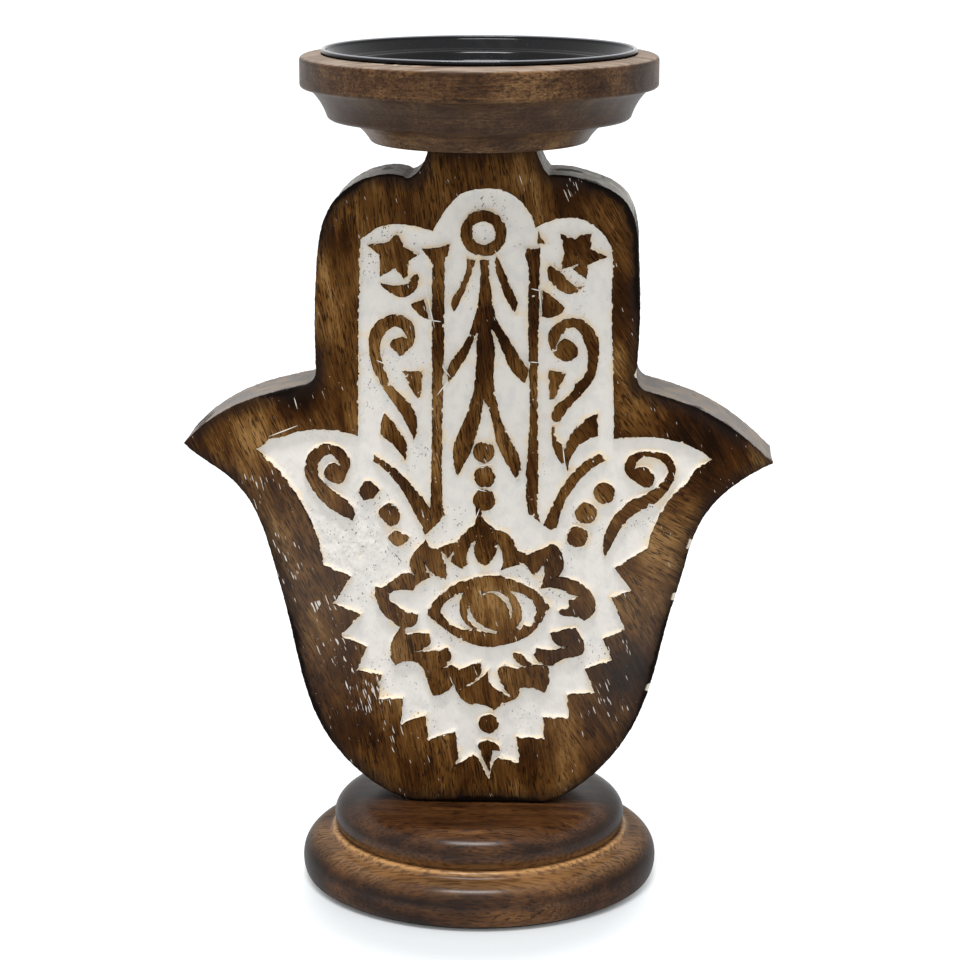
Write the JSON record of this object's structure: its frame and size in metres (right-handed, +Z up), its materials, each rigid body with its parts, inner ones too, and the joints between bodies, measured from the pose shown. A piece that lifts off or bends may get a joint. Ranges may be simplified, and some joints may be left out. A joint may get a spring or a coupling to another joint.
{
  "type": "hamsa hand candle stand",
  "caption": "Carved wooden hamsa hand on a turned foot, with a stepped turned dish on top and a lift-out metal pan that holds a pillar candle.",
  "frame": {"origin": "middle of the base's underside, on the floor", "axes": "+Z up, -Y towards the carved front of the hand, +X to the right as seen from the front"},
  "size_m": [0.19, 0.118, 0.274],
  "materials": {
    "hand_wood": "dark stained, satin",
    "whitewash": "matte limewash",
    "base_wood": "dark stained, varnished",
    "felt": "matte felt",
    "dish_wood": "dark stained, satin",
    "black_enamel": "gloss black",
    "screw_steel": "zinc plated"
  },
  "bodies": {
    "stand": {"hand_panel": "hand_wood", "whitewash_coat": "whitewash", "turned_base": "base_wood", "base_pad": "felt", "candle_dish": "dish_wood", "base_screw_left": "screw_steel", "base_screw_right": "screw_steel", "dish_screw_left": "screw_steel", "dish_screw_right": "screw_steel"},
    "pan": {"candle_pan": "black_enamel"}
  },
  "joints": [
    {"name": "pan_lift", "type": "slide", "parent": "stand", "child": "pan", "axis": [0, 0, 1], "range_m": [0, 0.03]}
  ]
}
